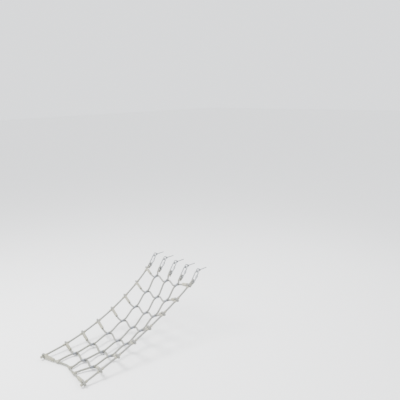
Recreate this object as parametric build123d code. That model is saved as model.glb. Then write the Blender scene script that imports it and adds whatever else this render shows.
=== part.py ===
"""Cargo climbing net for a play tower, hung from the beam under the deck by five eye bolts.

Five long ropes hang from quick links and run down to the ground. Seven cross ropes and a bottom rope tie
them together. At each inner crossing the two ropes lie one over the other through a pressed ferrule.
At each edge the cross rope goes round the edge rope and is served back on itself.

Frame: the origin is the middle eye bolt, at the beam's face. +X runs along the beam, +Y into the beam,
+Z up. The net comes down towards -Y. All sizes are in millimetres, and angles in degrees.
"""

import os
from math import acos, asin, atan2, cos, degrees, hypot, radians, sin, tan

from build123d import *

# Hanging: the beam, the ground under it and how the net comes down between them
bolt_pitch = 160.0
ground_drop = 610.0
link_lean = 36.0
left_foot = (-283.0, -1309.0)
right_foot = (316.0, -1266.0)
left_curve = 18.8
right_curve = 8.4
middle_sag = 110.0
foot_corner_left = (-18.0, -1222.0)
foot_corner_right = (54.0, -1241.0)
foot_corner_bend = 40.0

# Mesh
columns = 5
rows = 7
first_row = 54.0
inner_row_lag = 35.0
row_pitch = 177.5
joint_run = 12.0
top_joint_turn = 60.0
joint_turn_step = 2.8
tail_length = 32.0

# Rope and what is pressed or served on it
rope_d = 18.0
rope_gap = 0.2
sleeve_wall = 2.8
ferrule_length = 32.0
ferrule_wall = 2.0
ferrule_web = 2.6
clip_bend = 14.0
pinch_bend = 26.0
loop_gap = 1.8
loop_throat = 29.0
splice_sleeve_end = 90.0
foot_sleeve_end = 116.0
eye_throat = 27.0
eye_sleeve_end = 38.0
eye_exit = 45.0
collar_start = 15.0
collar_length = 14.0
tee_x = (-135.0, 18.0, 118.0)
tee_length = 34.0
tee_stub = 24.0
tee_rope_corner = 38.0
cap_length = 16.0
cap_end = 2.0

# Eye bolt
bolt_wire = 10.0
bolt_eye_bore = 24.0
bolt_eye_reach = 27.0
bolt_collar_d = 24.0
bolt_collar_length = 5.0
bolt_shank_length = 45.0
bolt_thread_length = 36.0
bolt_thread_pitch = 4.5
bolt_thread_depth = 1.1
bolt_tip_length = 9.0

# Quick link
link_wire = 12.0
link_length = 117.0
link_width = 50.0
link_gap = 10.0
nut_length = 27.0
nut_flats = 18.0
nut_gap = 0.15
hook_gap = 0.3
ground_gap = 2.0

# Worked-out sizes
rope_r = rope_d / 2
bore_r = rope_r + rope_gap
sleeve_r = bore_r + sleeve_wall
ferrule_r = bore_r + ferrule_wall
pair_half = bore_r
joint_half = ferrule_length / 2 + joint_run
stack_half = bore_r + ferrule_web / 2
ferrule_half = ferrule_length / 2
link_r = link_wire / 2
bow_r = (link_width - link_wire) / 2
bolt_ring_r = (bolt_eye_bore + bolt_wire) / 2
link_seat = bolt_eye_bore / 2 - link_r - hook_gap
eye_r = link_r + rope_r + hook_gap
loop_r = rope_d + loop_gap
ground = -ground_drop
foot_height = ground + loop_r + rope_r + ground_gap
joint_height = ground + stack_half + ferrule_r + ground_gap
tee_height = ground + sleeve_r + ground_gap
lean = radians(link_lean)
ring_centre = Vector(0, -bolt_eye_reach, 0)
link_axis = Vector(0, -sin(lean), -cos(lean))
hook_centre = ring_centre + link_axis * (link_seat + link_length - link_wire)
bolt_x = [(i - (columns - 1) / 2) * bolt_pitch for i in range(columns)]
bend_report = []


def unit(vector):
    return vector.normalized()


def edge_line(foot, curve, top_x):
    """The arc that an edge rope hangs in, as a function from the run along it to a point and a slope."""
    out = hook_centre.Y - foot[1]
    down = hook_centre.Z - foot_height
    mean = atan2(down, out)
    sweep_half = radians(curve)
    radius = hypot(out, down) / (2 * sin(sweep_half))
    length = 2 * sweep_half * radius

    def at(run):
        share = run / length
        slope = mean + sweep_half * (1 - 2 * share)
        x = top_x + (foot[0] - top_x) * share
        y = hook_centre.Y - radius * (sin(mean + sweep_half) - sin(slope))
        z = hook_centre.Z - radius * (cos(slope) - cos(mean + sweep_half))
        return Vector(x, y, z), slope

    return at, length


left_line, left_length = edge_line(left_foot, left_curve, bolt_x[0])
right_line, right_length = edge_line(right_foot, right_curve, bolt_x[-1])


def down_net(slope):
    return Vector(0, -cos(slope), -sin(slope))


def off_net(slope):
    return Vector(0, -sin(slope), cos(slope))


def sag_share(column):
    """How much of the middle's sag a column has: none at the edges, all in the middle."""
    share = column / (columns - 1)
    return 4 * share * (1 - share)


def joint(column, row):
    """Middle of a crossing, the way its ferrule points (up and to the right) and its normal."""
    share = column / (columns - 1)
    run = first_row + row_pitch * row + inner_row_lag * (1 - row / (rows - 1))
    left, left_slope = left_line(run)
    right, right_slope = right_line(run)
    slope = left_slope * (1 - share) + right_slope * share
    sag = middle_sag * sin(radians(180 * min(1, run / left_length))) * sag_share(column)
    middle = left * (1 - share) + right * share - off_net(slope) * sag
    middle = Vector(middle.X, middle.Y, max(middle.Z, joint_height))
    turn = radians(top_joint_turn - joint_turn_step * row)
    along = Vector(cos(turn), 0, 0) - down_net(slope) * sin(turn)
    return middle, along, off_net(slope)


def joint_end(column, row, side, level):
    """Corner of a rope at a crossing: side is -1 at the lower left end, level is +1 for the long rope."""
    middle, along, normal = joint(column, row)
    return middle + along * (side * joint_half) + normal * (level * stack_half)


def turn_round(centre, along, across, radius, throat):
    """Corners of a rope that comes in on the -across side, goes round and leaves on the +across side."""
    far = hypot(throat, pair_half)
    spread = degrees(asin(radius / far) - atan2(pair_half, throat))
    step = (180 + 2 * spread) / 3
    reach = radius / cos(radians(step / 2))
    corners = [(centre + along * throat - across * pair_half, pinch_bend)]
    for angle in (180 + step, 180, 180 - step):
        spoke = along * cos(radians(angle)) + across * sin(radians(angle))
        corners.append((centre + spoke * reach, radius))
    corners.append((centre + along * throat + across * pair_half, pinch_bend))
    return corners


def rope_line(route):
    """The rope's centre line: straight runs joined by arcs. A corner with no radius of its own is wide."""
    points = [point for point, _ in route]
    radii = []
    for i in range(1, len(route) - 1):
        before = points[i] - points[i - 1]
        after = points[i + 1] - points[i]
        half_turn = radians(before.get_angle(after)) / 2
        shorter = min(before.length, after.length)
        own = route[i][1]
        room = 0.45 * shorter
        if own is not None:
            room = 0.498 * shorter
        widest = room / tan(half_turn)
        radii.append(widest if own is None else min(own, widest))
    return FilletPolyline(*points, radius=radii), radii


def rope(name, route):
    line, radii = rope_line(route)
    solid = sweep(Plane(origin=line @ 0, z_dir=line % 0) * Circle(rope_r), path=line)
    share = solid.volume / (Circle(rope_r).area * line.length)
    bend_report.append((name, line.length, share, [round(radius) for radius in radii]))
    return solid


def along_plane(start, direction, across):
    """A plane whose Z is the direction and whose X is the across vector."""
    return Plane(origin=start, x_dir=across, z_dir=direction)


def tube(start, direction, length, outer, inner):
    ring = Circle(outer) - Circle(inner)
    return extrude(Plane(origin=start, z_dir=direction) * ring, amount=length)


def pair_sleeve(centre, along, across, start, end):
    """A sleeve round two ropes that lie touching, one each side of the line from the centre."""
    outer = SlotCenterToCenter(2 * pair_half, 2 * sleeve_r)
    inner = SlotCenterToCenter(2 * pair_half, 2 * bore_r)
    plane = along_plane(centre + along * start, along, across)
    return extrude(plane * (outer - inner), amount=end - start)


def pinch_end(radius, throat):
    """Where the pair of ropes past a loop has become parallel."""
    far = hypot(throat, pair_half)
    spread = asin(radius / far) - atan2(pair_half, throat)
    return throat + pinch_bend * tan(spread / 2) + 0.5


# Eye bolts: a welded ring with a collar, a plain shank and a wood thread
def eye_bolt(x):
    ring = Plane.YZ * Torus(bolt_ring_r, bolt_wire / 2)
    ring = Pos(0, -bolt_eye_reach, 0) * ring
    neck_length = bolt_eye_reach - bolt_ring_r
    shank_r = bolt_wire / 2
    turns = int(bolt_thread_length / bolt_thread_pitch)
    root_r = shank_r - bolt_thread_depth
    outline = [(0, -neck_length), (shank_r, -neck_length), (shank_r, -bolt_collar_length)]
    outline += [(bolt_collar_d / 2, -bolt_collar_length), (bolt_collar_d / 2, 0), (shank_r, 0)]
    outline += [(shank_r, bolt_shank_length)]
    for i in range(turns):
        foot = bolt_shank_length + i * bolt_thread_pitch
        outline += [(root_r, foot + bolt_thread_pitch * 0.45), (shank_r, foot + bolt_thread_pitch)]
    thread_end = bolt_shank_length + turns * bolt_thread_pitch
    outline += [(0, thread_end + bolt_tip_length)]
    profile = make_face(Polyline(*outline, close=True))
    shank = revolve(profile, Axis.Y)
    return Pos(x, 0, 0) * (ring + shank)


# Quick link: a bent wire with a gap in its right leg
def link_plane(x):
    """X across the link, Y from the beam's end to the rope's end, at the middle of the link."""
    middle = ring_centre + link_axis * (link_seat + (link_length - link_wire) / 2) + Vector(x, 0, 0)
    return Plane(origin=middle, x_dir=(1, 0, 0), z_dir=Vector(1, 0, 0).cross(link_axis))


def quick_link(x):
    leg_half = (link_length - link_wire) / 2 - bow_r
    gap_half = link_gap / 2
    right_up = Line((bow_r, gap_half), (bow_r, leg_half))
    bow_up = ThreePointArc((bow_r, leg_half), (0, leg_half + bow_r), (-bow_r, leg_half))
    left_leg = Line((-bow_r, leg_half), (-bow_r, -leg_half))
    bow_down = ThreePointArc((-bow_r, -leg_half), (0, -leg_half - bow_r), (bow_r, -leg_half))
    right_down = Line((bow_r, -leg_half), (bow_r, -gap_half))
    path = Wire([right_up, bow_up, left_leg, bow_down, right_down])
    wire = sweep(Plane(origin=path @ 0, z_dir=path % 0) * Circle(link_r), path=path)
    return link_plane(x) * wire


# Screw sleeve of the quick link: a hexagon bar with its corners turned off
def quick_link_nut(x):
    hexagon = RegularPolygon(nut_flats / 2, 6, major_radius=False) - Circle(link_r + nut_gap)
    body = extrude(hexagon, amount=nut_length / 2, both=True)
    corner_r = nut_flats / 2 / cos(radians(30))
    chamfer_length = 2.5
    barrel = Cylinder(corner_r, nut_length)
    barrel = chamfer(barrel.edges().filter_by(GeomType.CIRCLE), chamfer_length)
    nut = body & barrel
    return link_plane(x) * (Pos(bow_r, 0, 0) * Rot(90, 0, 0) * nut)


# Long ropes
def hook_axes(column, target):
    """The eye on a link: its centre, the way towards the target, and square to that on the upper side."""
    centre = hook_centre + Vector(bolt_x[column], 0, 0)
    across = unit((target - centre).cross(Vector(1, 0, 0)))
    along = unit(target - centre - across * pair_half)
    return centre, along, unit(across - along * across.dot(along))


def hook_eye(axes):
    """Corners of the eye that hangs on the link, with the rope's tail on its lower side."""
    centre, along, across = axes
    tail = centre + along * (eye_sleeve_end - 1) - across * pair_half
    return [(tail, None)] + turn_round(centre, along, across, eye_r, eye_throat)


def eye_sleeve(axes):
    return pair_sleeve(*axes, pinch_end(eye_r, eye_throat), eye_sleeve_end)


def edge_corner(line, i):
    """Corner of an edge rope midway between two of its ties."""
    return line(first_row + row_pitch * (i + 0.5))[0]


def edge_route(axes, line, length):
    route = hook_eye(axes)
    for i in range(rows):
        route.append((edge_corner(line, i), None))
    foot, slope = line(length)
    route.append((foot + down_net(slope) * tail_length, None))
    return route


def edge_ties(route, line, length):
    """Where each cross rope is tied on an edge rope, and the rope's direction there. The foot comes last."""
    points = [point for point, _ in route]
    last = len(points) - 1
    first = last - rows
    start = points[first - 1]
    ties = [(start + unit(points[first] - start) * (first_row - eye_throat), unit(points[first] - start))]
    for i in range(first, last - 1):
        ties.append(((points[i] + points[i + 1]) * 0.5, unit(points[i + 1] - points[i])))
    direction = unit(points[last] - points[last - 1])
    ties.append((points[last] - direction * tail_length, direction))
    return ties


def inner_axes(column):
    """An inner rope's eye stays square to its link, and the rope turns towards its first crossing."""
    first = joint_end(column, 0, 1, 1)
    return hook_axes(column, Vector(bolt_x[column], first.Y, first.Z))


def inner_route(axes, column, tee):
    centre, along, across = axes
    route = hook_eye(axes)
    route.append((centre + along * eye_exit + across * pair_half, clip_bend))
    for row in range(rows):
        route.append((joint_end(column, row, 1, 1), clip_bend))
        route.append((joint_end(column, row, -1, 1), clip_bend))
    middle, stub = tee
    route.append((middle + stub * tee_rope_corner, None))
    route.append((middle + stub * (rope_r + 0.8), None))
    return route


# Cross ropes and the bottom rope
def loop_axes(tie, target):
    """Axes of the loop round an edge rope: towards the mesh, and square to it on the upper side."""
    point, direction = tie
    along = unit(target - point)
    across = unit(along.cross(direction))
    if across.Z < 0:
        across = across * -1
    along = unit(target - point + across * pair_half)
    across = unit(across - along * across.dot(along))
    return along, across


def loop_route(tie, target, tail_end):
    """From the loop's tail, on its upper side, round the edge rope to the start of the run below it."""
    along, across = loop_axes(tie, target)
    corners = turn_round(tie[0], along, across, loop_r, loop_throat)
    tail = tie[0] + along * tail_end + across * pair_half
    return [(tail, None)] + corners[::-1]


def cross_route(row, left_tie, right_tie):
    tail_end = splice_sleeve_end - 4
    route = loop_route(left_tie, joint_end(1, row, -1, -1), tail_end)
    for column in range(1, columns - 1):
        route.append((joint_end(column, row, -1, -1), clip_bend))
        route.append((joint_end(column, row, 1, -1), clip_bend))
    return route + loop_route(right_tie, joint_end(columns - 2, row, 1, -1), tail_end)[::-1]


def loop_sleeve(tie, target, end):
    along, across = loop_axes(tie, target)
    return pair_sleeve(tie[0], along, across, pinch_end(loop_r, loop_throat), end)


def ferrule(column, row):
    """An oval ferrule with a bore for each rope, one above the other."""
    middle, along, normal = joint(column, row)
    oval = SlotCenterToCenter(2 * stack_half, 2 * ferrule_r)
    bores = Pos(stack_half, 0) * Circle(bore_r) + Pos(-stack_half, 0) * Circle(bore_r)
    plane = along_plane(middle - along * ferrule_half, along, normal)
    return extrude(plane * (oval - bores), amount=ferrule_length)


def foot_tee(centre, along, stub):
    """A tee that holds the end of an inner rope square on the bottom rope."""
    run = Plane(origin=centre - along * (tee_length / 2), z_dir=along)
    branch = Plane(origin=centre, z_dir=stub)
    body = extrude(run * Circle(sleeve_r), amount=tee_length)
    body += extrude(branch * Circle(sleeve_r), amount=tee_stub)
    body -= extrude(run * Circle(bore_r), amount=tee_length)
    return body - extrude(branch * Circle(bore_r), amount=tee_stub)


def tail_cap(end, direction):
    """A cap over the whipped end of an edge rope."""
    start = end - direction * (cap_length - cap_end - rope_gap)
    cup = Plane(origin=start, z_dir=direction)
    body = extrude(cup * Circle(sleeve_r - 0.8), amount=cap_length)
    return body - extrude(cup * Circle(bore_r), amount=cap_length - cap_end)


nodes = {}
for i, x in enumerate(bolt_x, 1):
    nodes[f"eye_bolt_{i}"] = eye_bolt(x)
    nodes[f"quick_link_{i}"] = quick_link(x)
    nodes[f"quick_link_nut_{i}"] = quick_link_nut(x)

edges = {}
for side, line, length, column in (
    ("left", left_line, left_length, 0),
    ("right", right_line, right_length, columns - 1),
):
    axes = hook_axes(column, edge_corner(line, 0))
    route = edge_route(axes, line, length)
    ties = edge_ties(route, line, length)
    edges[side] = ties
    nodes[f"edge_rope_{side}"] = rope(f"edge_rope_{side}", route)
    nodes[f"eye_sleeve_{column + 1}"] = eye_sleeve(axes)
    collars = []
    for i, (point, direction) in enumerate(ties):
        below = point + direction * collar_start
        above = point - direction * (collar_start + collar_length)
        if i < rows:
            collars.append(tube(below, direction, collar_length, sleeve_r, bore_r))
        if i > 0:
            collars.append(tube(above, direction, collar_length, sleeve_r, bore_r))
    nodes[f"edge_collars_{side}"] = Compound(collars)
    nodes[f"tail_cap_{side}"] = tail_cap(route[-1][0], ties[-1][1])

left_ties, right_ties = edges["left"], edges["right"]
left_corner = Vector(*foot_corner_left, tee_height)
right_corner = Vector(*foot_corner_right, tee_height)
bottom_tail = foot_sleeve_end - 4
bottom_route = loop_route(left_ties[-1], left_corner, bottom_tail)
bottom_route += [(left_corner, foot_corner_bend), (right_corner, foot_corner_bend)]
bottom_route += loop_route(right_ties[-1], right_corner, bottom_tail)[::-1]
nodes["bottom_rope"] = rope("bottom_rope", bottom_route)
nodes["foot_sleeve_left"] = loop_sleeve(left_ties[-1], left_corner, foot_sleeve_end)
nodes["foot_sleeve_right"] = loop_sleeve(right_ties[-1], right_corner, foot_sleeve_end)

left_start = bottom_route[5][0]
right_start = bottom_route[-6][0]
tee_lines = (
    (left_start, left_corner),
    (left_corner, right_corner),
    (right_corner, right_start),
)
tees = []
for column, (x, (start, end)) in enumerate(zip(tee_x, tee_lines), 1):
    centre = start + (end - start) * ((x - start.X) / (end.X - start.X))
    along = unit(end - start)
    back = joint_end(column, rows - 1, -1, 1) - centre
    stub = unit(back - along * back.dot(along))
    tees.append(foot_tee(centre, along, stub))
    axes = inner_axes(column)
    route = inner_route(axes, column, (centre, stub))
    nodes[f"inner_rope_{column}"] = rope(f"inner_rope_{column}", route)
    nodes[f"eye_sleeve_{column + 1}"] = eye_sleeve(axes)
nodes["foot_tees"] = Compound(tees)

for row in range(rows):
    name = f"cross_rope_{row + 1}"
    nodes[name] = rope(name, cross_route(row, left_ties[row], right_ties[row]))
    ferrules = [ferrule(column, row) for column in range(1, columns - 1)]
    nodes[f"crossing_ferrules_{row + 1}"] = Compound(ferrules)
    left = loop_sleeve(left_ties[row], joint_end(1, row, -1, -1), splice_sleeve_end)
    right = loop_sleeve(right_ties[row], joint_end(columns - 2, row, 1, -1), splice_sleeve_end)
    nodes[f"splice_sleeves_{row + 1}"] = Compound([left, right])

os.makedirs("parts", exist_ok=True)
for name, shape in nodes.items():
    export_step(shape, f"parts/{name}.step")

print("nodes", len(nodes))
for name, length, share, radii in bend_report:
    print(name, "length", round(length), "volume over section times length", round(share, 4), "bends", radii)
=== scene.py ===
from math import asin, atan2, cos, degrees, hypot, pi, radians, sin, sqrt

import bpy
from mathutils import Matrix, Vector


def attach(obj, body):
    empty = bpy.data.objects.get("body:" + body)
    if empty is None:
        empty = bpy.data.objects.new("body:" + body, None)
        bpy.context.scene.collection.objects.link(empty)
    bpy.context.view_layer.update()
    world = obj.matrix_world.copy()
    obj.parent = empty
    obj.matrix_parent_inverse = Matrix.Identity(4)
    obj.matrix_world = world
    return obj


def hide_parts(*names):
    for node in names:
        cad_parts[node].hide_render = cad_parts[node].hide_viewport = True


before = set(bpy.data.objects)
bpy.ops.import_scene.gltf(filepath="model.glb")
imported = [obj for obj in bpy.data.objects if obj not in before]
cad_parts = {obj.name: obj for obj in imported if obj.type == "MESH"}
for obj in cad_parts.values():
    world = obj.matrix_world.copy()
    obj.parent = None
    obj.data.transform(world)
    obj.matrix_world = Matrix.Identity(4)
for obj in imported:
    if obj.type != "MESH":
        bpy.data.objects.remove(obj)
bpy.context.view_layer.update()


# Eye bolts. Each is a ring bent from 10 mm wire and welded to a collared shank with a wood thread.
# They are hot-dip galvanised, and screw into the face of the deck's front beam up to the collar.
class Shade:
    """A socket in a material's node tree. Sums and products of shades add their own Math nodes."""

    def __init__(self, tree, socket=None):
        self.tree = tree
        self.socket = socket

    def node(self, kind, settings=None, inputs=None, output=0):
        made = self.tree.nodes.new(kind)
        for name, value in (settings or {}).items():
            setattr(made, name, value)
        for name, value in (inputs or {}).items():
            if isinstance(value, Shade):
                self.tree.links.new(value.socket, made.inputs[name])
            else:
                made.inputs[name].default_value = value
        return Shade(self.tree, made.outputs[output])

    def sum(self, operation, first, second):
        settings = {"operation": operation}
        return self.node("ShaderNodeMath", settings, {0: first, 1: second})

    def __add__(self, other):
        return self.sum("ADD", self, other)

    def __radd__(self, other):
        return self.sum("ADD", other, self)

    def __sub__(self, other):
        return self.sum("SUBTRACT", self, other)

    def __rsub__(self, other):
        return self.sum("SUBTRACT", other, self)

    def __mul__(self, other):
        return self.sum("MULTIPLY", self, other)

    def __rmul__(self, other):
        return self.sum("MULTIPLY", other, self)

    def wave(self, turns):
        """A ripple from 0 to 1 that repeats this many times for each unit."""
        ripple = self.node("ShaderNodeMath", {"operation": "SINE"}, {0: self * (2 * pi * turns)})
        return ripple * 0.5 + 0.5

    def between(self, low, high):
        """0 at low and 1 at high, held outside them."""
        inputs = {"Value": self, "From Min": low, "From Max": high}
        return self.node("ShaderNodeMapRange", {"interpolation_type": "SMOOTHSTEP"}, inputs)

    def tint(self, low_colour, high_colour):
        """Goes from one colour to the other as this goes from 0 to 1. Either may be a shade."""
        inputs = {0: self}
        for place, colour in ((6, low_colour), (7, high_colour)):
            inputs[place] = colour if isinstance(colour, Shade) else (*colour, 1)
        return self.node("ShaderNodeMix", {"data_type": "RGBA"}, inputs, output=2)


def new_material(name):
    """A material that holds only its shader. Gives the material, its tree and where a point lies."""
    material = bpy.data.materials.new(name)
    material.use_nodes = True
    tree = Shade(material.node_tree)
    place = tree.node("ShaderNodeTexCoord", output="Object")
    return material, tree, place


def finish_material(material, colour, roughness, height=None, strength=0.5, distance=0.0005, **fixed):
    """Joins what varies to the shader, and sets what is the same all over on its own sockets."""
    tree = Shade(material.node_tree)
    shader = material.node_tree.nodes["Principled BSDF"]
    for name, value in (("Base Color", colour), ("Roughness", roughness)):
        tree.tree.links.new(value.socket, shader.inputs[name])
    if height is not None:
        inputs = {"Strength": strength, "Distance": distance, "Height": height}
        bump = tree.node("ShaderNodeBump", None, inputs)
        tree.tree.links.new(bump.socket, shader.inputs["Normal"])
    for name, value in fixed.items():
        shader.inputs[name.replace("_", " ").title()].default_value = value
    return material


def noise(tree, place, scale, detail=3.0, roughness=0.6):
    inputs = {"Vector": place, "Scale": scale, "Detail": detail, "Roughness": roughness}
    return tree.node("ShaderNodeTexNoise", None, inputs)


def galvanised_steel():
    material, tree, place = new_material("galvanised_steel")
    spangle = tree.node("ShaderNodeTexVoronoi", None, {"Vector": place, "Scale": 260.0}, output="Color")
    spangle = tree.node("ShaderNodeSeparateColor", None, {0: spangle})
    bloom = noise(tree, place, 55.0, 4.0).between(0.42, 0.66)
    fine = noise(tree, place, 900.0, 3.0)
    colour = (spangle * 0.6 + fine * 0.4).tint((0.19, 0.20, 0.21), (0.37, 0.385, 0.395))
    colour = (bloom * 0.55).tint(colour, (0.44, 0.45, 0.45))
    roughness = 0.34 + spangle * 0.14 + bloom * 0.2
    return finish_material(material, colour, roughness, fine + spangle * 0.4, 0.25, 0.0002, metallic=0.85)


zinc = galvanised_steel()


def turn(name, sides, rings, spread=0.0):
    """A closed body raised from a circle, ring by ring, each (height, radius). A spread parts its halves."""
    bpy.ops.object.select_all(action="DESELECT")
    height, radius = rings[0]
    bpy.ops.mesh.primitive_circle_add(
        vertices=sides, radius=radius, fill_type="NGON", location=(0, 0, height),
    )
    body = bpy.context.object
    body.name = name
    bpy.ops.object.transform_apply()
    for vertex in body.data.vertices:
        vertex.co.x += spread if vertex.co.x > 0 else -spread
    bpy.ops.object.mode_set(mode="EDIT")
    bpy.ops.mesh.select_all(action="SELECT")
    for next_height, next_radius in rings[1:]:
        rise = (0, 0, next_height - height)
        bpy.ops.mesh.extrude_region_move(TRANSFORM_OT_translate={"value": rise})
        wider = (spread + next_radius) / (spread + radius)
        bpy.ops.transform.resize(value=(wider, next_radius / radius, 1), center_override=(0, 0, next_height))
        height, radius = next_height, next_radius
    bpy.ops.mesh.select_all(action="SELECT")
    bpy.ops.mesh.normals_make_consistent(inside=False)
    bpy.ops.object.mode_set(mode="OBJECT")
    return body


def smooth(body, angle=40):
    """Shades the body's soft edges smooth and leaves the sharp ones."""
    bpy.ops.object.select_all(action="DESELECT")
    body.select_set(True)
    bpy.context.view_layer.objects.active = body
    bpy.ops.object.shade_smooth_by_angle(angle=radians(angle))


def join(bodies, name):
    """Makes one piece of several, named after the first."""
    bpy.ops.object.select_all(action="DESELECT")
    for body in bodies:
        body.select_set(True)
    bpy.context.view_layer.objects.active = bodies[0]
    if len(bodies) > 1:
        bpy.ops.object.join()
    bodies[0].name = name
    return bodies[0]


def copy_of(body, name, matrix):
    """A copy with its own mesh, put in place by moving the mesh."""
    copied = body.copy()
    copied.data = body.data.copy()
    copied.name = name
    copied.data.transform(matrix)
    bpy.context.collection.objects.link(copied)
    return copied


def put_on(piece, material, slot, body, *nodes):
    """Gives a finished piece its material and its place in the frame."""
    piece.data.materials.clear()
    piece.data.materials.append(material)
    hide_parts(*nodes)
    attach(piece, body)


bolt_pitch = 0.160
bolt_wire_r = 0.005
bolt_eye_reach = 0.027
bolt_ring_r = 0.017
bolt_collar_r = 0.012
bolt_collar_length = 0.005
bolt_shank_length = 0.045
thread_pitch = 0.0045
thread_turns = 8
thread_depth = 0.0011
tip_length = 0.009
ridge_room = 0.0002
weld = 0.00001

bpy.ops.object.select_all(action="DESELECT")
bpy.ops.mesh.primitive_torus_add(
    location=(0, 0, -bolt_eye_reach), rotation=(pi / 2, 0, pi / 2), major_segments=56, minor_segments=24,
    major_radius=bolt_ring_r, minor_radius=bolt_wire_r,
)
bolt_ring = bpy.context.object
bpy.ops.object.transform_apply()
neck = bolt_ring_r - bolt_eye_reach
shank_rings = [
    (neck - 0.003, bolt_wire_r * 1.05), (neck + 0.001, bolt_wire_r * 1.45),
    (neck + 0.0025, bolt_wire_r * 1.3), (neck + 0.004, bolt_wire_r),
    (-bolt_collar_length - 0.0008, bolt_wire_r), (-bolt_collar_length, bolt_wire_r * 1.15),
    (-bolt_collar_length, bolt_collar_r * 0.93), (-bolt_collar_length * 0.84, bolt_collar_r),
    (-bolt_collar_length * 0.16, bolt_collar_r), (0, bolt_collar_r * 0.95),
    (0.0001, bolt_wire_r), (bolt_shank_length - 0.001, bolt_wire_r),
    (bolt_shank_length, bolt_wire_r - thread_depth),
]
thread_end = bolt_shank_length + thread_turns * thread_pitch
shank_rings += [(thread_end, bolt_wire_r - thread_depth), (thread_end + tip_length * 0.4, bolt_wire_r * 0.62)]
shank_rings += [(thread_end + tip_length, bolt_wire_r * 0.06)]
shank = turn("shank", 32, shank_rings)

bpy.ops.object.select_all(action="DESELECT")
bpy.ops.mesh.primitive_plane_add(size=1)
thread = bpy.context.object
bpy.ops.object.mode_set(mode="EDIT")
bpy.ops.mesh.delete(type="VERT")
bpy.ops.object.mode_set(mode="OBJECT")
root = bolt_wire_r - thread_depth - ridge_room
ridge = [
    (root, 0), (root + ridge_room, 0.1), (bolt_wire_r, 0.42), (bolt_wire_r, 0.5), (root + ridge_room, 0.82),
    (root, 0.9),
]
thread.data.from_pydata(
    [(r, 0, bolt_shank_length + share * thread_pitch) for r, share in ridge],
    [(i, i + 1) for i in range(len(ridge) - 1)], [],
)
screw = thread.modifiers.new("screw", "SCREW")
screw.axis = "Z"
screw.steps = screw.render_steps = 32
screw.iterations = thread_turns
screw.screw_offset = thread_pitch
screw.use_merge_vertices = True
bpy.ops.object.modifier_apply(modifier="screw")
bpy.ops.object.mode_set(mode="EDIT")
bpy.ops.mesh.select_all(action="SELECT")
bpy.ops.mesh.remove_doubles(threshold=weld)
bpy.ops.mesh.select_all(action="DESELECT")
bpy.ops.mesh.select_non_manifold()
bpy.ops.mesh.edge_face_add()
bpy.ops.mesh.select_all(action="SELECT")
bpy.ops.mesh.normals_make_consistent(inside=False)
bpy.ops.object.mode_set(mode="OBJECT")
whole_bolt = join([bolt_ring, shank, thread], "eye_bolt")
smooth(whole_bolt, 35)
into_beam = Matrix.Rotation(-pi / 2, 4, "X")
bolt_x = [(i - 2) * bolt_pitch for i in range(5)]
for i, x in enumerate(bolt_x, 1):
    bolt = copy_of(whole_bolt, f"galvanised_eye_bolt_{i}", Matrix.Translation((x, 0, 0)) @ into_beam)
    put_on(bolt, zinc, "galvanised_steel", "bolts", f"eye_bolt_{i}")
bpy.data.objects.remove(whole_bolt)


# Quick links. Each is 12 mm wire bent into a long ring, with a gap in one leg and a thread above the gap.
# One bow hangs in the bolt's ring and the other carries the rope's eye.
link_lean = 36.0
link_wire_r = 0.006
link_length = 0.117
link_width = 0.050
link_gap = 0.010
link_seat = 0.0057
link_thread_pitch = 0.0015
link_thread_turns = 10
link_root = 0.82
link_ridge = 1.18
link_thread_end = 0.0008
link_chamfer = 0.0006
bow_steps = 22
bow_r = link_width / 2 - link_wire_r
leg_half = link_length / 2 - link_width / 2
lean = radians(link_lean)
link_axis = Vector((0, -sin(lean), -cos(lean)))
ring_centre = Vector((0, -bolt_eye_reach, 0))
link_middle = ring_centre + link_axis * (link_seat + link_length / 2 - link_wire_r)

bpy.ops.object.select_all(action="DESELECT")
bpy.ops.mesh.primitive_circle_add(
    vertices=28, radius=link_wire_r * link_root, fill_type="NGON", location=(bow_r, 0, link_gap / 2)
)
link = bpy.context.object
bpy.ops.object.transform_apply()
bpy.ops.object.mode_set(mode="EDIT")
bpy.ops.mesh.select_all(action="SELECT")


def pull_out(rise, scale=1.0):
    """Draws the selected end of the wire out along its leg, and makes it thicker or thinner."""
    bpy.ops.mesh.extrude_region_move(TRANSFORM_OT_translate={"value": (0, 0, rise)})
    bpy.ops.transform.resize(value=(scale, scale, 1))


for _ in range(link_thread_turns):
    pull_out(link_thread_pitch / 2, link_ridge)
    pull_out(link_thread_pitch / 2, 1 / link_ridge)
pull_out(link_thread_end, 1 / link_root)
pull_out(leg_half - link_gap / 2 - link_thread_turns * link_thread_pitch - link_thread_end)
bpy.ops.mesh.spin(steps=bow_steps, angle=pi, center=(0, 0, leg_half), axis=(0, 1, 0))
pull_out(-2 * leg_half)
bpy.ops.mesh.spin(steps=bow_steps, angle=pi, center=(0, 0, -leg_half), axis=(0, 1, 0))
pull_out(leg_half - link_gap / 2 - link_chamfer)
pull_out(link_chamfer, 0.88)
bpy.ops.mesh.select_all(action="SELECT")
bpy.ops.mesh.remove_doubles(threshold=weld)
bpy.ops.mesh.normals_make_consistent(inside=False)
bpy.ops.object.mode_set(mode="OBJECT")
smooth(link, 50)
along_link = Matrix.Rotation(-lean, 4, "X")
for i, x in enumerate(bolt_x, 1):
    place = Matrix.Translation(link_middle + Vector((x, 0, 0))) @ along_link
    wire = copy_of(link, f"bent_quick_link_{i}", place)
    put_on(wire, zinc, "galvanised_steel", f"link_{i}", f"quick_link_{i}")
bpy.data.objects.remove(link)


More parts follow.
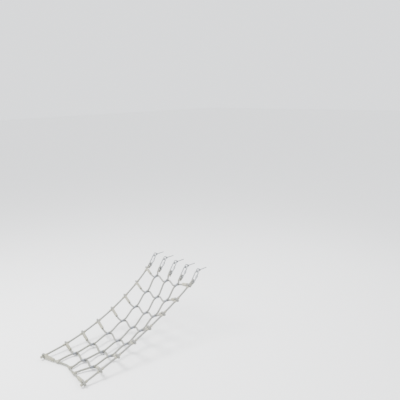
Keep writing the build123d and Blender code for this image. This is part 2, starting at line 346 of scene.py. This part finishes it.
# Screw nuts of the quick links. Each is a short hexagon bar with its corners turned off at both ends.
# It screws along the link's thread over the gap.
nut_length = 0.027
nut_flats = 0.018
nut_corner_r = nut_flats / 2 / cos(radians(30))
nut_half = nut_length / 2
nut_face_r = nut_flats * 0.47
nut_barrel_r = nut_corner_r * 1.01
nut_turned = 0.002
nut_rings = [
    (-nut_half, link_wire_r + 0.0004), (-nut_half, nut_face_r), (-nut_half + 0.0014, nut_corner_r),
]
nut_rings += [(-height, radius) for height, radius in reversed(nut_rings)]
nut = turn("nut", 6, nut_rings)
barrel_rings = [
    (-nut_half, nut_face_r), (-nut_half + nut_turned, nut_barrel_r),
    (nut_half - nut_turned, nut_barrel_r), (nut_half, nut_face_r),
]
barrel = turn("barrel", 48, barrel_rings)
bpy.ops.object.select_all(action="DESELECT")
nut.select_set(True)
bpy.context.view_layer.objects.active = nut
cut = nut.modifiers.new("cut", "BOOLEAN")
cut.operation = "INTERSECT"
cut.object = barrel
bpy.ops.object.modifier_apply(modifier="cut")
edge = nut.modifiers.new("edge", "BEVEL")
edge.width = 0.0003
edge.segments = 2
edge.limit_method = "ANGLE"
edge.angle_limit = radians(25)
bpy.ops.object.modifier_apply(modifier="edge")
smooth(nut, 30)
bpy.data.objects.remove(barrel)
for i, x in enumerate(bolt_x, 1):
    place = Matrix.Translation(link_middle + Vector((x, 0, 0))) @ along_link
    hexagon = copy_of(nut, f"hexagon_nut_{i}", place @ Matrix.Translation((bow_r, 0, 0)))
    put_on(hexagon, zinc, "galvanised_steel", f"link_nut_{i}", f"quick_link_nut_{i}")
bpy.data.objects.remove(nut)


# Outer ropes. Each is an 18 mm rope of six strands laid round a core. Its eye hangs in the first or last
# link, and it runs down the side of the net in a slack arc, past the bottom rope, to a tail on the ground.
ground = -0.610
left_foot = (-0.283, -1.309)
right_foot = (0.316, -1.266)
left_curve = 18.8
right_curve = 8.4
columns = 5
rows = 7
first_row = 0.054
row_pitch = 0.1775
tail_length = 0.032
rope_r = 0.009
rope_gap = 0.0002
loop_nip = 0.0006
loop_gap = 0.0018
hook_gap = 0.0003
eye_tail_inset = 0.001
loop_throat = 0.026
eye_throat = 0.027
eye_sleeve_end = 0.038
eye_exit = 0.045
ground_gap = 0.002
pair_half = rope_r + rope_gap
loop_r = 2 * rope_r - loop_nip
eye_r = link_wire_r + rope_r + hook_gap
foot_height = ground + 3 * rope_r + loop_gap + ground_gap
hook_centre = ring_centre + link_axis * (link_seat + link_length - 2 * link_wire_r)
rope_lay = 0.092
strands = 6
strand_sides = 7
thin_end = 0.3
thin_length = 0.055
outer_lengths = {"left": 1.453, "right": 1.394}


def edge_line(foot, curve, top_x):
    """The arc that an outer rope hangs in, as a function from the run along it to a point and a slope."""
    out = hook_centre.y - foot[1]
    down = hook_centre.z - foot_height
    mean = atan2(down, out)
    sweep_half = radians(curve)
    radius = hypot(out, down) / (2 * sin(sweep_half))
    length = 2 * sweep_half * radius

    def at(run):
        share = run / length
        slope = mean + sweep_half * (1 - 2 * share)
        x = top_x + (foot[0] - top_x) * share
        y = hook_centre.y - radius * (sin(mean + sweep_half) - sin(slope))
        z = hook_centre.z - radius * (cos(slope) - cos(mean + sweep_half))
        return Vector((x, y, z)), slope

    return at, length


left_line, left_length = edge_line(left_foot, left_curve, bolt_x[0])
right_line, right_length = edge_line(right_foot, right_curve, bolt_x[-1])


def turn_round(centre, along, across, radius, throat):
    """Points of a rope that comes in on the -across side, goes round the centre and leaves on the other."""
    far = hypot(throat, pair_half)
    spread = degrees(asin(radius / far) - atan2(pair_half, throat))
    step = (180 + 2 * spread) / 3
    reach = radius / cos(radians(step / 2))
    points = [centre + along * throat - across * pair_half]
    for angle in (180 + step, 180, 180 - step):
        spoke = along * cos(radians(angle)) + across * sin(radians(angle))
        points.append(centre + spoke * reach)
    return points + [centre + along * throat + across * pair_half]


def hook_axes(column, target):
    """The eye on a link: its centre, the way from it to the target, and square to that on the upper side."""
    centre = hook_centre + Vector((bolt_x[column], 0, 0))
    across = (target - centre).cross(Vector((1, 0, 0))).normalized()
    along = (target - centre - across * pair_half).normalized()
    return centre, along, (across - along * across.dot(along)).normalized()


def hook_eye(axes):
    centre, along, across = axes
    tail = centre + along * (eye_sleeve_end - eye_tail_inset) - across * pair_half
    return [tail] + turn_round(centre, along, across, eye_r, eye_throat)


def edge_corner(line, i):
    return line(first_row + row_pitch * (i + 0.5))[0]


def edge_route(axes, line, length):
    route = hook_eye(axes) + [edge_corner(line, i) for i in range(rows)]
    foot, slope = line(length)
    return route + [foot + Vector((0, -cos(slope), -sin(slope))) * tail_length]


def spline_line(route):
    """Points read from the smooth spline that has the route's points as its control points."""
    curve = bpy.data.curves.new("route", "CURVE")
    curve.dimensions = "3D"
    curve.resolution_u = 48
    spline = curve.splines.new("NURBS")
    spline.points.add(len(route) - 1)
    for knot, point in zip(spline.points, route):
        knot.co = (*point, 1)
    spline.order_u = 3
    spline.use_endpoint_u = True
    holder = bpy.data.objects.new("route", curve)
    mesh = bpy.data.meshes.new_from_object(holder)
    points = [vertex.co.copy() for vertex in mesh.vertices]
    bpy.data.objects.remove(holder)
    bpy.data.curves.remove(curve)
    bpy.data.meshes.remove(mesh)
    ring_step = 0.0026
    line = [points[0]]
    for point in points[1:-1]:
        if (point - line[-1]).length > ring_step and (point - points[-1]).length > ring_step:
            line.append(point)
    return line + [points[-1]]


def strand_outline():
    """Places round the rope: each its angle, its share of the rope's radius, and how far up its strand."""
    strand, reach = 0.37, 0.63
    outline = []
    for i in range(strands * strand_sides):
        off = (i / strand_sides) % 1 - 0.5
        turned = off * 2 * pi / strands
        share = reach * cos(turned) + sqrt(strand ** 2 - (reach * sin(turned)) ** 2)
        outline.append((2 * pi * i / (strands * strand_sides), share, 1 - (2 * abs(off)) ** 2))
    return outline


def laid_rope(name, line, tapered):
    """The rope's strands, wound round the line. Its UV map is strands round it and metres along it.
    Each tapered end is thinned out, as the tail of a splice is."""
    outline = strand_outline()
    whole = sum((after - before).length for before, after in zip(line, line[1:]))
    sides = len(outline)
    points, crown, run = [], [], [0.0]
    normal = None
    for i, point in enumerate(line):
        ahead = (line[min(i + 1, len(line) - 1)] - line[max(i - 1, 0)]).normalized()
        if normal is None:
            normal = ahead.orthogonal()
        normal = (normal - ahead * normal.dot(ahead)).normalized()
        side = ahead.cross(normal)
        if i > 0:
            run.append(run[-1] + (point - line[i - 1]).length)
        twist = 2 * pi * run[-1] / rope_lay
        thin = 1.0
        from_start = run[-1] if "start" in tapered else whole
        from_end = whole - run[-1] if "end" in tapered else whole
        for end_run in (from_start, from_end):
            thin = min(thin, thin_end + (1 - thin_end) * min(1, end_run / thin_length))
        for angle, share, up in outline:
            spoke = normal * cos(angle + twist) + side * sin(angle + twist)
            points.append(point + spoke * (share * rope_r * thin))
            crown.append(up)
    faces, places = [], []
    for i in range(len(line) - 1):
        for j in range(sides):
            k = (j + 1) % sides
            faces.append((i * sides + j, i * sides + k, (i + 1) * sides + k, (i + 1) * sides + j))
            left, right = j / strand_sides, (j + 1) / strand_sides
            places += [(left, run[i]), (right, run[i]), (right, run[i + 1]), (left, run[i + 1])]
    last = (len(line) - 1) * sides
    faces.append(tuple(reversed(range(sides))))
    faces.append(tuple(range(last, last + sides)))
    places += [(0.0, 0.0)] * (2 * sides)
    mesh = bpy.data.meshes.new(name)
    mesh.from_pydata(points, [], faces)
    uv = mesh.uv_layers.new(name="strands")
    uv.data.foreach_set("uv", [value for place in places for value in place])
    mesh.attributes.new("crown", "FLOAT", "POINT").data.foreach_set("value", crown)
    mesh.shade_smooth()
    piece = bpy.data.objects.new(name, mesh)
    bpy.context.collection.objects.link(piece)
    return piece


def rope_fibre():
    material, tree, place = new_material("laid_rope_fibre")
    surface = tree.node("ShaderNodeUVMap", {"uv_map": "strands"})
    strand = tree.node("ShaderNodeSeparateXYZ", None, {0: surface}, output=0)
    metres = tree.node("ShaderNodeSeparateXYZ", None, {0: surface}, output=1)
    crown = tree.node("ShaderNodeAttribute", {"attribute_name": "crown"}, output="Fac")
    height = tree.node("ShaderNodeSeparateXYZ", None, {0: place}, output=2)
    yarn = (strand * 4.0 + metres * 230.0).wave(1.0)
    fibre = noise(tree, place, 1400.0, 2.0)
    patch = noise(tree, place, 9.0, 5.0)
    stain = noise(tree, place, 34.0, 5.0)
    colour = (yarn * 0.5 + fibre * 0.5).tint((0.21, 0.21, 0.195), (0.40, 0.40, 0.37))
    colour = (patch.between(0.35, 0.7) * 0.5).tint(colour, (0.27, 0.265, 0.225))
    # Painted shade: the grooves between the strands, where crown is low, are painted near black.
    colour = ((1 - crown) * 0.8).tint(colour, (0.075, 0.073, 0.066))
    colour = (stain.between(0.55, 0.8) * 0.3).tint(colour, (0.14, 0.135, 0.11))
    low = height.between(ground + 0.13, ground) * stain.between(0.35, 0.65)
    colour = (low * 0.55).tint(colour, (0.20, 0.21, 0.13))
    bump = yarn * 0.7 + fibre * 0.5
    return finish_material(material, colour, 0.82 + fibre * 0.12, bump, 0.7, 0.0006, sheen_weight=0.2)


fibre_finish = rope_fibre()


def hang_rope(name, route, node, length, tapered=()):
    """Makes the rope of one route, in place of its plain tube."""
    line = spline_line(route)
    piece = laid_rope(name, line, tapered)
    put_on(piece, fibre_finish, "rope", "net", node)


edge_axes, ties = {}, {}
for side, line, length, column in (
    ("left", left_line, left_length, 0), ("right", right_line, right_length, columns - 1),
):
    edge_axes[side] = hook_axes(column, edge_corner(line, 0))
    route = edge_route(edge_axes[side], line, length)
    hang_rope(f"outer_rope_{side}", route, f"edge_rope_{side}", outer_lengths[side])
    first = len(route) - 1 - rows
    down = (route[first] - route[first - 1]).normalized()
    ties[side] = [(route[first - 1] + down * (first_row - eye_throat), down)]
    for i in range(first, first + rows - 1):
        ties[side].append(((route[i] + route[i + 1]) / 2, (route[i + 1] - route[i]).normalized()))
    down = (route[-1] - route[-2]).normalized()
    ties[side].append((route[-1] - down * tail_length, down))


# Bottom rope. It lies on the ground, looped round both outer ropes and served back on itself.
# The middle rope pulls it back towards the tower, into two corners.
foot_corner_left = (-0.018, -1.222)
foot_corner_right = (0.054, -1.241)
sleeve_r = 0.012
foot_sleeve_end = 0.116
tail_lift = 0.006
tail_inset = 0.004
tee_height = ground + sleeve_r + ground_gap


def loop_axes(tie, target):
    """Axes of the loop round an outer rope: towards the mesh, and square to it on the upper side."""
    point, direction = tie
    along = (target - point).normalized()
    across = along.cross(direction).normalized()
    if across.z < 0:
        across = -across
    along = (target - point + across * pair_half).normalized()
    return along, (across - along * across.dot(along)).normalized()


def loop_route(tie, target, tail_end):
    """From the loop's tail, laid on the run, round the outer rope to the start of the run below it."""
    along, across = loop_axes(tie, target)
    points = turn_round(tie[0], along, across, loop_r, loop_throat)
    return [tie[0] + along * tail_end - across * (pair_half - tail_lift)] + points[::-1]


left_corner = Vector((*foot_corner_left, tee_height))
right_corner = Vector((*foot_corner_right, tee_height))
left_half = loop_route(ties["left"][-1], left_corner, foot_sleeve_end - tail_inset)
right_half = loop_route(ties["right"][-1], right_corner, foot_sleeve_end - tail_inset)
corner_run = (right_corner - left_corner).length
before = left_corner + (left_half[-1] - left_corner).normalized() * corner_run
after = right_corner + (right_half[-1] - right_corner).normalized() * corner_run
ground_route = left_half + [before, left_corner, right_corner, after] + right_half[::-1]
hang_rope("ground_rope", ground_route, "bottom_rope", 0.974, tapered=("start", "end"))


# Inner ropes. Each hangs in its own link, goes through a ferrule at every cross rope, where it slants across
# with that rope under it, and ends in a tee on the bottom rope.
middle_sag = 0.110
inner_row_lag = 0.035
joint_length = 0.056
top_joint_turn = 60.0
joint_turn_step = 2.8
upper_roll = 20.0
lower_roll = 70.0
ferrule_web = 0.0016
tee_x = (-0.135, 0.018, 0.118)
ferrule_r = 0.0112
tee_rope_corner = 0.038
tee_gap = 0.0008
inner_lengths = (1.502, 1.486, 1.473)
stack_half = rope_r + rope_gap + ferrule_web / 2
joint_height = ground + stack_half + ferrule_r + ground_gap


def off_net(slope):
    return Vector((0, -sin(slope), cos(slope)))


def joint(column, row):
    """Middle of a crossing, the way its ferrule points (up and to the right) and its normal."""
    share = column / (columns - 1)
    run = first_row + row_pitch * row + inner_row_lag * (1 - row / (rows - 1))
    left, left_slope = left_line(run)
    right, right_slope = right_line(run)
    slope = left_slope * (1 - share) + right_slope * share
    sag = middle_sag * sin(pi * min(1, run / left_length)) * 4 * share * (1 - share)
    middle = left.lerp(right, share) - off_net(slope) * sag
    middle.z = max(middle.z, joint_height)
    turned = radians(top_joint_turn - joint_turn_step * row)
    along = Vector((cos(turned), cos(slope) * sin(turned), sin(slope) * sin(turned)))
    return middle, along, off_net(slope)


def joint_end(column, row, side, level):
    """End of a rope's slant at a crossing: side is -1 at the lower left, level is +1 for the long rope.
    The two ropes turn about each other on the way, so that each leaves on its own side."""
    middle, along, normal = joint(column, row)
    roll = radians(upper_roll if side > 0 else lower_roll)
    stack = normal * cos(roll) + along.cross(normal) * sin(roll)
    return middle + along * (side * joint_length / 2) + stack * (level * stack_half)


def inner_axes(column):
    first = joint_end(column, 0, 1, 1)
    return hook_axes(column, Vector((bolt_x[column], first.y, first.z)))


tees = []
stretches = ((left_half[5], left_corner), (left_corner, right_corner), (right_corner, right_half[5]))
for column, (x, (start, end)) in enumerate(zip(tee_x, stretches), 1):
    centre = start.lerp(end, (x - start.x) / (end.x - start.x))
    along = (end - start).normalized()
    back = joint_end(column, rows - 1, -1, 1) - centre
    stub = (back - along * back.dot(along)).normalized()
    tees.append((centre, along, stub))
    eye_centre, down, across = inner_axes(column)
    route = hook_eye((eye_centre, down, across)) + [eye_centre + down * eye_exit + across * pair_half]
    for row in range(rows):
        upper, lower = joint_end(column, row, 1, 1), joint_end(column, row, -1, 1)
        if row > 0:
            route.append(upper + (route[-1] - upper).normalized() * joint_length)
        route += [upper, lower]
        if row < rows - 1:
            below = joint_end(column, row + 1, 1, 1)
            route.append(lower + (below - lower).normalized() * joint_length)
    route += [centre + stub * tee_rope_corner, centre + stub * (rope_r + tee_gap)]
    hang_rope(f"middle_rope_{column}", route, f"inner_rope_{column}", inner_lengths[column - 1])


# Cross ropes. Each is looped round both outer ropes, served back on itself, and slants under the inner ropes
# through their ferrules.
splice_sleeve_end = 0.090
cross_lengths = (1.042, 1.048, 1.059, 1.061, 1.048, 1.020, 0.983)
for row in range(rows):
    left_target, right_target = joint_end(1, row, -1, -1), joint_end(columns - 2, row, 1, -1)
    route = loop_route(ties["left"][row], left_target, splice_sleeve_end - tail_inset)
    for column in range(1, columns - 1):
        near, far = joint_end(column, row, -1, -1), joint_end(column, row, 1, -1)
        if column > 1:
            route.append(near + (route[-1] - near).normalized() * joint_length)
        route += [near, far]
        if column < columns - 2:
            beyond = joint_end(column + 1, row, -1, -1)
            route.append(far + (beyond - far).normalized() * joint_length)
    route += loop_route(ties["right"][row], right_target, splice_sleeve_end - tail_inset)[::-1]
    hang_rope(
        f"rung_rope_{row + 1}", route, f"cross_rope_{row + 1}", cross_lengths[row], tapered=("start", "end"),
    )


# Servings. Wherever a rope is brought back on itself, both parts are wound with waxed twine, turn by turn.
# The same winding sits above and below each loop on the outer ropes, so that the loop can't slide.
twine_pitch = 0.0024
twine_valley = 0.0008
winding_r = rope_r + 0.0026
winding_bore_r = rope_r * 0.94
splice_start = 0.0180
leg_flare = 0.34
pinch_bend = 0.026
collar_start = 0.015
collar_length = 0.014


def wound_twine():
    material, tree, place = new_material("wound_twine")
    height = tree.node("ShaderNodeSeparateXYZ", None, {0: place}, output=2)
    crown = tree.node("ShaderNodeAttribute", {"attribute_name": "crown"}, output="Fac")
    fibre = noise(tree, place, 1100.0, 3.0)
    patch = noise(tree, place, 40.0, 4.0)
    # Painted light and shade: along with the twine's own fibre, the crown of each turn is painted lighter.
    colour = (fibre * 0.6 + crown * 0.4).tint((0.30, 0.29, 0.225), (0.50, 0.485, 0.395))
    colour = (patch.between(0.4, 0.75) * 0.4).tint(colour, (0.34, 0.32, 0.235))
    # Painted shade: the hollows between the turns are painted dark.
    colour = ((1 - crown) * 0.75).tint(colour, (0.10, 0.093, 0.066))
    low = height.between(ground + 0.13, ground) * patch.between(0.3, 0.6)
    colour = (low * 0.5).tint(colour, (0.20, 0.20, 0.12))
    return finish_material(material, colour, 0.74 + fibre * 0.15, fibre, 0.6, 0.0005, sheen_weight=0.15)


twine_finish = wound_twine()


def winding(name, start, end, spread):
    """Turns of twine round one rope, or round two that lie a spread each side of the middle."""
    turns = round((end - start) / twine_pitch)
    pitch = (end - start) / turns
    rings = [(start, winding_bore_r)]
    for i in range(turns):
        for share, full in ((0.0, 0.0), (0.2, 0.75), (0.5, 1.0), (0.8, 0.75)):
            rings.append((start + (i + share) * pitch, winding_r - twine_valley * (1 - full)))
    rings += [(end, winding_r - twine_valley), (end, winding_bore_r)]
    body = turn(name, 36, rings, spread)
    crown = []
    for vertex in body.data.vertices:
        share = ((vertex.co.z - start) / pitch) % 1
        between = 0.01 < share < 0.99
        at_end = min(vertex.co.z - start, end - vertex.co.z) < pitch / 10
        crown.append(sin(pi * share) ** 0.5 if between else 0.7 if at_end else 0.0)
    body.data.attributes.new("crown", "FLOAT", "POINT").data.foreach_set("value", crown)
    smooth(body, 60)
    return body


def pinch_end(radius, throat):
    """Where the pair of ropes past a loop has become parallel."""
    far = hypot(throat, pair_half)
    spread = asin(radius / far) - atan2(pair_half, throat)
    return throat + pinch_bend * sin(spread / 2) / cos(spread / 2) + 0.0005


def stand(centre, along, across):
    """Where a piece lies whose own +Z points along and whose +X points across."""
    turned = Matrix((across, along.cross(across), along)).transposed().to_4x4()
    return Matrix.Translation(centre) @ turned


def draw_in(body, throat, end, tail_width):
    """Spreads a winding over the legs of the loop before its throat, and draws it in past the throat from the
    side where the rope's tail is thinned out."""
    for vertex in body.data.vertices:
        leg = leg_flare * max(0, throat - vertex.co.z)
        vertex.co.x += leg if vertex.co.x > 0 else -leg
        share = min(1, max(0, (vertex.co.z - throat) / (end - throat)))
        narrow = 1 - share * (1 - tail_width)
        vertex.co.x = -pair_half - winding_r + (vertex.co.x + pair_half + winding_r) * narrow


splice = winding("splice", splice_start, splice_sleeve_end, pair_half)
draw_in(splice, loop_throat, splice_sleeve_end, 0.84)
for row in range(rows):
    left_axes = loop_axes(ties["left"][row], joint_end(1, row, -1, -1))
    right_axes = loop_axes(ties["right"][row], joint_end(columns - 2, row, 1, -1))
    pair = [
        copy_of(splice, "splice", stand(ties["left"][row][0], *left_axes)),
        copy_of(splice, "splice", stand(ties["right"][row][0], *right_axes)),
    ]
    served = join(pair, f"splice_servings_{row + 1}")
    put_on(served, twine_finish, "served_twine", "net", f"splice_sleeves_{row + 1}")
bpy.data.objects.remove(splice)

foot = winding("foot", splice_start, foot_sleeve_end, pair_half)
draw_in(foot, loop_throat, foot_sleeve_end, 0.66)
for side, corner in (("left", left_corner), ("right", right_corner)):
    axes = loop_axes(ties[side][-1], corner)
    served = copy_of(foot, f"foot_serving_{side}", stand(ties[side][-1][0], *axes))
    put_on(served, twine_finish, "served_twine", "net", f"foot_sleeve_{side}")
bpy.data.objects.remove(foot)

eye_winding = winding("eye", pinch_end(eye_r, eye_throat), eye_sleeve_end, pair_half)
eye_places = [edge_axes["left"], *(inner_axes(column) for column in (1, 2, 3)), edge_axes["right"]]
for i, axes in enumerate(eye_places, 1):
    served = copy_of(eye_winding, f"eye_serving_{i}", stand(*axes))
    put_on(served, twine_finish, "served_twine", "net", f"eye_sleeve_{i}")
bpy.data.objects.remove(eye_winding)

collar = winding("collar", 0.0, collar_length, 0.0)
for side in ("left", "right"):
    collars = []
    for i, (point, direction) in enumerate(ties[side]):
        starts = [point + direction * collar_start] if i < rows else []
        if i > 0:
            starts.append(point - direction * (collar_start + collar_length))
        across = direction.orthogonal().normalized()
        for start in starts:
            collars.append(copy_of(collar, "collar", stand(start, direction, across)))
    served = join(collars, f"outer_rope_servings_{side}")
    put_on(served, twine_finish, "served_twine", "net", f"edge_collars_{side}")
bpy.data.objects.remove(collar)


# Ferrules. Each is an oval alloy tube over two ropes, pressed shut in the middle so that neither can slip.
# The mouths stay round and a little flared.


def pressed_alloy():
    material, tree, place = new_material("pressed_alloy")
    ends = tree.node("ShaderNodeAttribute", {"attribute_name": "ends"}, output="Fac")
    grain = noise(tree, place, 700.0, 4.0)
    dull = noise(tree, place, 90.0, 4.0).between(0.35, 0.7)
    scratch = noise(tree, place, 260.0, 6.0, 0.75).between(0.6, 0.68)
    colour = (grain * 0.5 + dull * 0.5).tint((0.13, 0.138, 0.15), (0.23, 0.24, 0.255))
    colour = (scratch * 0.5).tint(colour, (0.48, 0.49, 0.50))
    # Painted shade: both mouths of the ferrule, where the ropes go in, are painted dark.
    colour = (ends * 0.6).tint(colour, (0.07, 0.07, 0.08))
    roughness = 0.38 + dull * 0.2 - scratch * 0.1
    return finish_material(material, colour, roughness, grain + dull * 0.5, 0.3, 0.0003, metallic=0.8)


alloy_finish = pressed_alloy()
mouth_r = rope_r + 0.0001
half_profile = [
    (0.0135, mouth_r), (0.0148, mouth_r + 0.0004), (0.0160, ferrule_r - 0.0006),
    (0.0156, ferrule_r - 0.0001), (0.0142, ferrule_r), (0.0076, ferrule_r - 0.0002),
    (0.0066, ferrule_r - 0.0009), (0.0050, ferrule_r - 0.0011),
]
ferrule_rings = [(-height, radius) for height, radius in half_profile] + half_profile[::-1]
ferrule = turn("ferrule", 40, ferrule_rings, stack_half)
twist = radians(upper_roll - lower_roll) / joint_length
for vertex in ferrule.data.vertices:
    vertex.co = Matrix.Rotation(twist * vertex.co.z, 3, "Z") @ vertex.co
# How far each point lies towards a mouth, which sets the painted shade there.
ends = [min(1, max(0, (abs(vertex.co.z) - 0.012) / 0.004)) for vertex in ferrule.data.vertices]
ferrule.data.attributes.new("ends", "FLOAT", "POINT").data.foreach_set("value", ends)
smooth(ferrule, 42)
for row in range(rows):
    clips = []
    for column in range(1, columns - 1):
        middle, along, normal = joint(column, row)
        roll = radians((upper_roll + lower_roll) / 2)
        stack = normal * cos(roll) + along.cross(normal) * sin(roll)
        clips.append(copy_of(ferrule, "clip", stand(middle, along, stack)))
    pressed = join(clips, f"pressed_ferrules_{row + 1}")
    put_on(pressed, alloy_finish, "ferrule_alloy", "net", f"crossing_ferrules_{row + 1}")
bpy.data.objects.remove(ferrule)


# Tees at the foot. Each is a short moulded tube on the bottom rope, with a branch that holds the end of an
# inner rope. They are the colour of weathered rope.
def moulded_fitting():
    material, tree, place = new_material("moulded_fitting")
    grain = noise(tree, place, 500.0, 3.0)
    dirt = noise(tree, place, 70.0, 4.0).between(0.4, 0.7)
    colour = grain.tint((0.24, 0.235, 0.185), (0.31, 0.30, 0.24))
    colour = (dirt * 0.5).tint(colour, (0.13, 0.12, 0.09))
    return finish_material(material, colour, 0.48 + dirt * 0.25, grain, 0.3, 0.0002)


moulded_finish = moulded_fitting()
run_half = [
    (0.0150, mouth_r), (0.0162, mouth_r + 0.0005), (0.0170, sleeve_r - 0.0006), (0.0166, sleeve_r - 0.0001),
    (0.0150, sleeve_r),
]
run_rings = [(-height, radius) for height, radius in run_half] + run_half[::-1]
run_tube = turn("run", 40, run_rings)
branch_rings = [
    (0.002, sleeve_r - 0.0005), (0.0218, sleeve_r), (0.0236, sleeve_r - 0.0001), (0.0240, sleeve_r - 0.0006),
    (0.0232, mouth_r + 0.0005), (0.0222, mouth_r),
]
branch_tube = turn("branch", 40, branch_rings)
branch_tube.data.transform(Matrix.Rotation(pi / 2, 4, "Y"))
bpy.ops.object.select_all(action="DESELECT")
run_tube.select_set(True)
bpy.context.view_layer.objects.active = run_tube
union = run_tube.modifiers.new("union", "BOOLEAN")
union.operation = "UNION"
union.object = branch_tube
bpy.ops.object.modifier_apply(modifier="union")
smooth(run_tube, 38)
bpy.data.objects.remove(branch_tube)
made = [copy_of(run_tube, "tee", stand(*place)) for place in tees]
put_on(join(made, "rope_tees"), moulded_finish, "moulded_fitting", "net", "foot_tees")
bpy.data.objects.remove(run_tube)


# Caps on the tails of the outer ropes. Each is a short moulded cup over the whipped end.
# It is made of the same stuff as the tees, and keeps the six strands from opening.
cap_length = 0.016
cap_end = 0.002
cap_r = rope_r + 0.0022
cap_rings = [
    (0.0008, mouth_r), (0.0, cap_r - 0.0006), (0.0006, cap_r - 0.0001), (0.0022, cap_r),
    (0.0028, cap_r - 0.0004),
    (0.0034, cap_r), (0.0132, cap_r - 0.0002), (0.0150, cap_r - 0.0010), (0.0158, cap_r - 0.0028),
    (cap_length, cap_r - 0.0056),
]
cap = turn("cap", 36, cap_rings)
smooth(cap, 50)
for side in ("left", "right"):
    point, direction = ties[side][-1]
    start = point + direction * (tail_length - cap_length + cap_end + rope_gap)
    place = stand(start, direction, direction.orthogonal().normalized())
    tail_cap = copy_of(cap, f"moulded_cap_{side}", place)
    put_on(tail_cap, moulded_finish, "moulded_fitting", "net", f"tail_cap_{side}")
bpy.data.objects.remove(cap)


# Floor, lights and camera. The floor is plain and pale, and lies just under the foot of the net.
# The light is soft and comes mostly from above.
bpy.ops.object.select_all(action="DESELECT")
bpy.ops.mesh.primitive_plane_add(size=80, location=(0, 0, ground))
floor = bpy.context.object
floor.name = "floor"
bpy.ops.object.transform_apply()
floor_paint = bpy.data.materials.new("floor_paint")
floor_paint.use_nodes = True
floor_shader = floor_paint.node_tree.nodes["Principled BSDF"]
floor_shader.inputs["Base Color"].default_value = (0.93, 0.93, 0.925, 1)
floor_shader.inputs["Roughness"].default_value = 0.85
floor.data.materials.append(floor_paint)

world = bpy.data.worlds.new("studio")
bpy.context.scene.world = world
world.use_nodes = True
world.node_tree.nodes["Background"].inputs["Color"].default_value = (0.95, 0.97, 1.0, 1)
world.node_tree.nodes["Background"].inputs["Strength"].default_value = 1.9

net_middle = Vector((0, -0.7, -0.35))
for name, place, size, power in (
    ("key", Vector((-1.2, -2.4, 3.6)), 1.8, 420),
    ("fill", Vector((3.2, -0.6, 2.2)), 2.6, 40),
    ("back", Vector((0.4, 2.4, 2.4)), 2.0, 50),
):
    lamp = bpy.data.lights.new(name, "AREA")
    lamp.size = size
    lamp.energy = power
    holder = bpy.data.objects.new(name, lamp)
    holder.location = place
    holder.rotation_euler = (net_middle - place).to_track_quat("-Z", "Y").to_euler()
    bpy.context.collection.objects.link(holder)

heading = radians(43.3054)
pitch = radians(13.2011)
roll = radians(-1.3649)
forward = Vector((-cos(heading) * cos(pitch), sin(heading) * cos(pitch), -sin(pitch)))
level = forward.cross(Vector((0, 0, 1))).normalized()
upright = level.cross(forward)
right = level * cos(roll) + upright * sin(roll)
up = upright * cos(roll) - level * sin(roll)
viewpoint = Vector((3.3335, -2.8168, 1.6357))
camera = bpy.data.cameras.new("camera")
camera.sensor_width = 36
camera.lens = 42.299
viewer = bpy.data.objects.new("camera", camera)
turned = Matrix((right, up, -forward)).transposed().to_4x4()
viewer.matrix_world = Matrix.Translation(viewpoint) @ turned
bpy.context.collection.objects.link(viewer)
bpy.context.scene.camera = viewer
